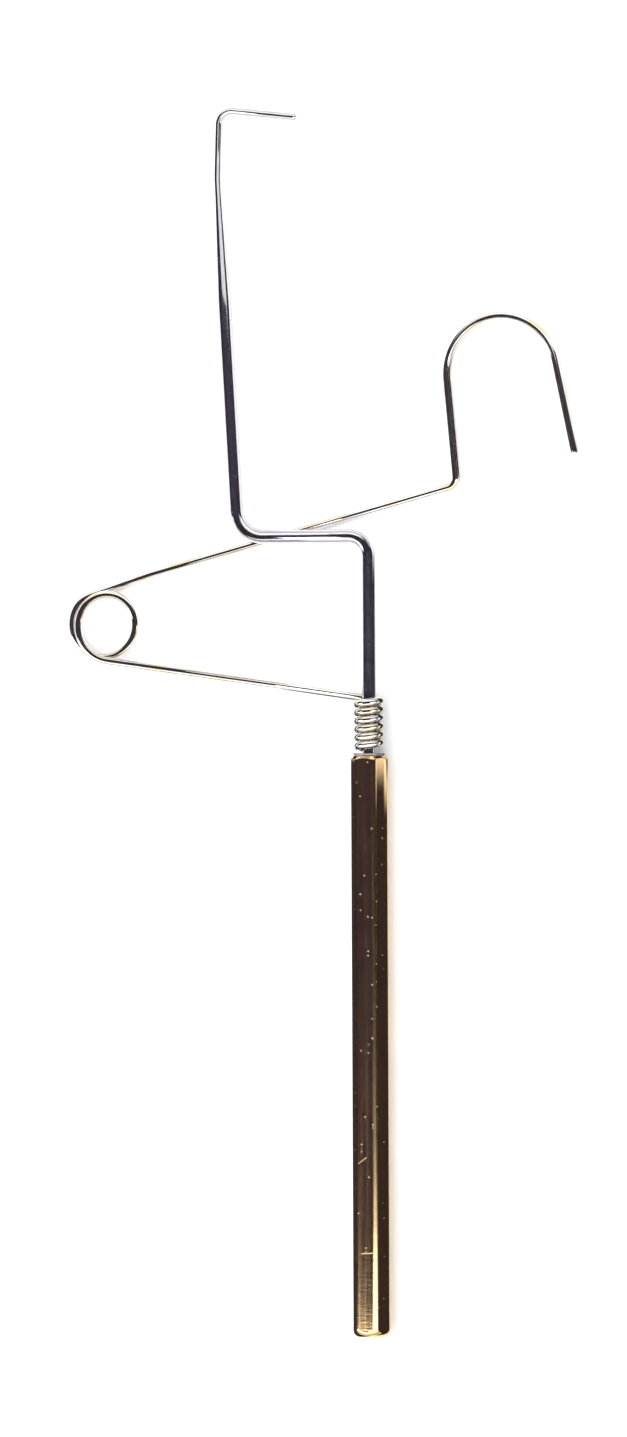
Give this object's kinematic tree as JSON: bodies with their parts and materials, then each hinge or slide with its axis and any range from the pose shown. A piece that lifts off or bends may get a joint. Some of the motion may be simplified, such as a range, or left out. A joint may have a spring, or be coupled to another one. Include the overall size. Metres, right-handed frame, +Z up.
{
  "type": "rotary whip finisher",
  "caption": "Slim hexagonal brass handle with a bent steel shaft turning in it and a coiled spring wire arm that ends in an open hook.",
  "frame": {"origin": "centre of the handle's lower flat, the one that the tool lies on, halfway along the handle", "axes": "+Y along the handle towards the hook end, +Z up from the table, +X towards the wire hook"},
  "size_m": [0.0627, 0.1423, 0.0041],
  "materials": {
    "brass": "polished hexagonal bar with fine drawing lines and light scratches",
    "bronze": "plain turned bearing bronze",
    "washer_steel": "plain stamped steel",
    "shaft_steel": "drawn rod, ground and polished",
    "wire_steel": "bright drawn stainless spring wire"
  },
  "bodies": {
    "handle": {"handle": "brass", "end_plug": "brass", "front_bush": "bronze", "rear_bush": "bronze", "thrust_washer": "washer_steel"},
    "head": {"shaft": "shaft_steel", "retaining_clip": "washer_steel", "spring_coil": "wire_steel", "spring_loop": "wire_steel"},
    "hook_arm": {"spring_hook": "wire_steel"}
  },
  "joints": [
    {"name": "head_spin", "type": "hinge", "parent": "handle", "child": "head", "pos_m": [0, 0.0336, 0.00205], "axis": [0, 1, 0], "continuous": true},
    {"name": "hook_flex", "type": "hinge", "parent": "head", "child": "hook_arm", "pos_m": [-0.0328, 0.0487, 0.00045], "axis": [0, 0, 1], "range_deg": [-10, 10], "stiffness_Nm_per_rad": 0.12, "deforming": ["spring_loop"]}
  ]
}
